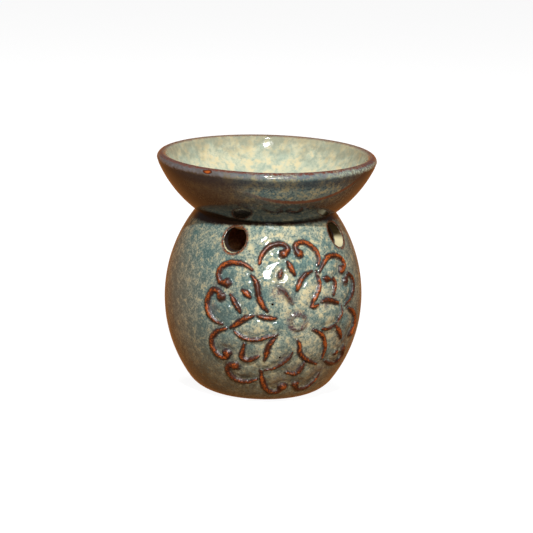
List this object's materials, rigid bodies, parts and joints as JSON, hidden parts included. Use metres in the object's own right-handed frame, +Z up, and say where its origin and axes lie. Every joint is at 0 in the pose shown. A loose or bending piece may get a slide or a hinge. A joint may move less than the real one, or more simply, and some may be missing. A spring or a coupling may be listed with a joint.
{
  "type": "essential oil burner",
  "caption": "Round-bellied glazed ceramic burner with a wide oil dish on its neck, heat vents, a raised flower on the front and a tea light inside a rear arch.",
  "frame": {"origin": "middle of the foot ring's underside, on the surface that the burner stands on", "axes": "+Z up the pot's axis through the dish, -Y out of the flower's middle, +Y out of the rear arch"},
  "size_m": [0.1, 0.1, 0.1093],
  "materials": {
    "pot_glaze": "gloss",
    "dish_glaze": "gloss",
    "line_glaze": "gloss",
    "boss_glaze": "gloss",
    "candle_cup": "satin",
    "wick_tab": "satin",
    "candle_wick": "matt",
    "candle_wax": "satin"
  },
  "bodies": {
    "burner": {"burner_body": "pot_glaze", "oil_dish": "dish_glaze", "flower_boss": "boss_glaze", "petal_lines_1": "line_glaze", "petal_lines_2": "line_glaze", "petal_lines_3": "line_glaze", "petal_lines_4": "line_glaze", "petal_lines_5": "line_glaze", "petal_lines_6": "line_glaze", "scroll_lines_1": "line_glaze", "scroll_lines_2": "line_glaze", "scroll_lines_3": "line_glaze", "scroll_lines_4": "line_glaze", "scroll_lines_5": "line_glaze", "scroll_lines_6": "line_glaze", "leaf_marks_1": "line_glaze", "leaf_marks_2": "line_glaze", "leaf_marks_3": "line_glaze", "leaf_marks_4": "line_glaze", "leaf_marks_5": "line_glaze", "leaf_marks_6": "line_glaze"},
    "tea_light": {"tea_light_cup": "candle_cup", "wick_sustainer": "wick_tab", "tea_light_wick": "candle_wick", "tea_light_wax": "candle_wax"}
  },
  "joints": [
    {"name": "tea_light_slide", "type": "slide", "parent": "burner", "child": "tea_light", "axis": [0, 1, 0], "range_m": [0, 0.07]}
  ]
}
